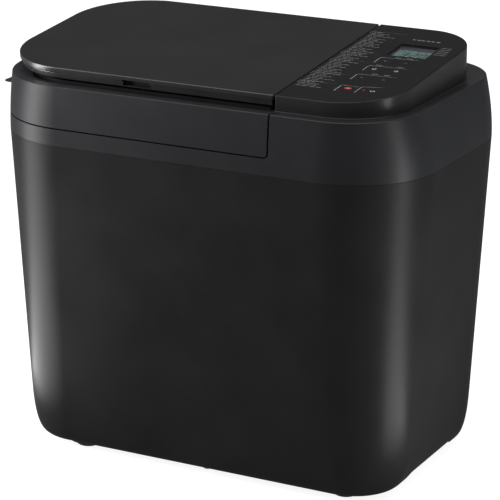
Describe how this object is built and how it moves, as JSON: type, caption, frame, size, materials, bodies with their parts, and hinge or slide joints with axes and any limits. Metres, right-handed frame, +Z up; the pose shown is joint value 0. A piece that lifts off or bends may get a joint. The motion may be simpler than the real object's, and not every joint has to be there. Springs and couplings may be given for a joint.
{
  "type": "bread machine",
  "caption": "Countertop bread machine: tapered rounded case, hinged lid with dispenser cover, sloping control pod, and a lift-out pan with a belt-driven kneading blade.",
  "frame": {"origin": "centre of the bounding box on the surface the feet stand on", "axes": "+X towards the control pod, along the longest side; -Y towards the front; +Z up"},
  "size_m": [0.408, 0.252, 0.3616],
  "materials": {
    "case_black": "fine satin moulded grain",
    "lid_black": "fine satin moulded grain",
    "top_black": "smooth satin",
    "base_black": "moulded matte",
    "foot_rubber": "soft matte",
    "fastener_steel": "zinc plated",
    "chamber_steel": "aluminised sheet",
    "heater_sheath": "oxidised sheath",
    "shaft_steel": "ground",
    "bearing_bronze": "sintered",
    "pulley_plastic": "moulded",
    "coupling_cast": "die cast",
    "motor_can": "zinc paint",
    "belt_rubber": "toothed belt matte",
    "board_green": "solder mask",
    "pan_coating": "non-stick coating with fine flecks",
    "handle_wire": "bright wire",
    "liner_aluminium": "satin",
    "seal_silicone": "silicone",
    "dispenser_clear": "smooth",
    "solenoid_coil": "taped winding",
    "panel_black": "satin film overlay",
    "display_window": "clear",
    "display_cell": "reflective display"
  },
  "bodies": {
    "housing": {"outer_case": "case_black", "base_plate": "base_black", "base_screws": "fastener_steel", "feet": "foot_rubber", "cord_gland": "base_black", "upper_band": "case_black", "hinge_bracket": "fastener_steel", "lid_hinge_pins": "fastener_steel", "oven_chamber": "chamber_steel", "heater_element": "heater_sheath", "temperature_sensor": "fastener_steel", "chamber_stand": "chamber_steel", "drive_bearing": "bearing_bronze", "pan_seat": "chamber_steel", "motor_housing": "motor_can", "motor_bracket": "chamber_steel", "drive_belt": "belt_rubber", "heat_shield": "chamber_steel", "power_board": "board_green", "control_pod": "case_black", "panel_fascia": "panel_black", "lcd_window": "display_window", "lcd_module": "display_cell", "control_board": "board_green"},
    "drive": {"drive_shaft": "shaft_steel", "large_pulley": "pulley_plastic", "drive_coupling": "coupling_cast"},
    "rotor": {"motor_shaft": "shaft_steel", "motor_pulley": "pulley_plastic"},
    "pan": {"bread_pan": "pan_coating", "pan_base_ring": "coupling_cast", "pan_bearing": "bearing_bronze", "handle_pivots": "fastener_steel"},
    "handle": {"pan_handle": "handle_wire"},
    "kneader": {"kneading_shaft": "shaft_steel", "wing_coupling": "coupling_cast", "kneading_blade": "pan_coating"},
    "lid": {"lid_frame": "lid_black", "lid_housing": "lid_black", "dispenser_hinge_pins": "fastener_steel", "lid_liner": "liner_aluminium", "lid_seal": "seal_silicone", "steam_vent_hood": "lid_black", "nut_dispenser_box": "dispenser_clear", "yeast_cup": "dispenser_clear", "dispenser_solenoids": "solenoid_coil"},
    "top_cover": {"dispenser_lid": "top_black", "dispenser_lid_liner": "top_black"},
    "nut_flap": {"nut_flap": "dispenser_clear"},
    "yeast_flap": {"yeast_flap": "dispenser_clear"},
    "timer_down_key": {"timer_down_key": "panel_black"},
    "timer_up_key": {"timer_up_key": "panel_black"},
    "size_key": {"size_key": "panel_black"},
    "crust_key": {"crust_key": "panel_black"},
    "menu_down_key": {"menu_down_key": "panel_black"},
    "menu_up_key": {"menu_up_key": "panel_black"},
    "stop_key": {"stop_key": "panel_black"},
    "start_key": {"start_key": "panel_black"}
  },
  "joints": [
    {"name": "lid_hinge", "type": "hinge", "parent": "housing", "child": "lid", "pos_m": [0, 0.112, 0.34], "axis": [-1, 0, 0], "range_deg": [0, 80]},
    {"name": "top_cover_hinge", "type": "hinge", "parent": "lid", "child": "top_cover", "pos_m": [-0.05, 0.101, 0.3526], "axis": [-1, 0, 0], "range_deg": [0, 85]},
    {"name": "nut_flap_hinge", "type": "hinge", "parent": "lid", "child": "nut_flap", "pos_m": [-0.067, 0.018, 0.2972], "axis": [1, 0, 0], "range_deg": [0, 80], "stiffness_Nm_per_rad": 0.02, "springref_deg": -34.38},
    {"name": "yeast_flap_hinge", "type": "hinge", "parent": "lid", "child": "yeast_flap", "pos_m": [-0.002, 0.0605, 0.2972], "axis": [1, 0, 0], "range_deg": [0, 80], "stiffness_Nm_per_rad": 0.01, "springref_deg": -34.38},
    {"name": "pan_lift", "type": "slide", "parent": "housing", "child": "pan", "axis": [0, 0, 1], "range_m": [0, 0.05]},
    {"name": "handle_hinge", "type": "hinge", "parent": "pan", "child": "handle", "pos_m": [-0.053, 0, 0.229], "axis": [-1, 0, 0], "range_deg": [0, 158]},
    {"name": "drive_spin", "type": "hinge", "parent": "housing", "child": "drive", "pos_m": [-0.053, 0, 0.04], "axis": [0, 0, 1], "continuous": true},
    {"name": "kneader_spin", "type": "hinge", "parent": "pan", "child": "kneader", "pos_m": [-0.053, 0, 0.1], "axis": [0, 0, 1], "continuous": true},
    {"name": "motor_spin", "type": "hinge", "parent": "housing", "child": "rotor", "pos_m": [0.105, 0, 0.06], "axis": [0, 0, 1], "continuous": true},
    {"name": "timer_down_press", "type": "slide", "parent": "housing", "child": "timer_down_key", "axis": [0, 0.0936, -0.9956], "range_m": [0, 0.0007], "stiffness_N_per_m": 300, "springref_m": -0.0012},
    {"name": "timer_up_press", "type": "slide", "parent": "housing", "child": "timer_up_key", "axis": [0, 0.0936, -0.9956], "range_m": [0, 0.0007], "stiffness_N_per_m": 300, "springref_m": -0.0012},
    {"name": "size_press", "type": "slide", "parent": "housing", "child": "size_key", "axis": [0, 0.0936, -0.9956], "range_m": [0, 0.0007], "stiffness_N_per_m": 300, "springref_m": -0.0012},
    {"name": "crust_press", "type": "slide", "parent": "housing", "child": "crust_key", "axis": [0, 0.0936, -0.9956], "range_m": [0, 0.0007], "stiffness_N_per_m": 300, "springref_m": -0.0012},
    {"name": "menu_down_press", "type": "slide", "parent": "housing", "child": "menu_down_key", "axis": [0, 0.0936, -0.9956], "range_m": [0, 0.0007], "stiffness_N_per_m": 300, "springref_m": -0.0012},
    {"name": "menu_up_press", "type": "slide", "parent": "housing", "child": "menu_up_key", "axis": [0, 0.0936, -0.9956], "range_m": [0, 0.0007], "stiffness_N_per_m": 300, "springref_m": -0.0012},
    {"name": "stop_press", "type": "slide", "parent": "housing", "child": "stop_key", "axis": [0, 0.0936, -0.9956], "range_m": [0, 0.0007], "stiffness_N_per_m": 300, "springref_m": -0.0012},
    {"name": "start_press", "type": "slide", "parent": "housing", "child": "start_key", "axis": [0, 0.0936, -0.9956], "range_m": [0, 0.0007], "stiffness_N_per_m": 300, "springref_m": -0.0012}
  ],
  "couplings": [
    {"joint": "kneader_spin", "follows": "drive_spin", "ratio": 1},
    {"joint": "motor_spin", "follows": "drive_spin", "ratio": 5}
  ]
}
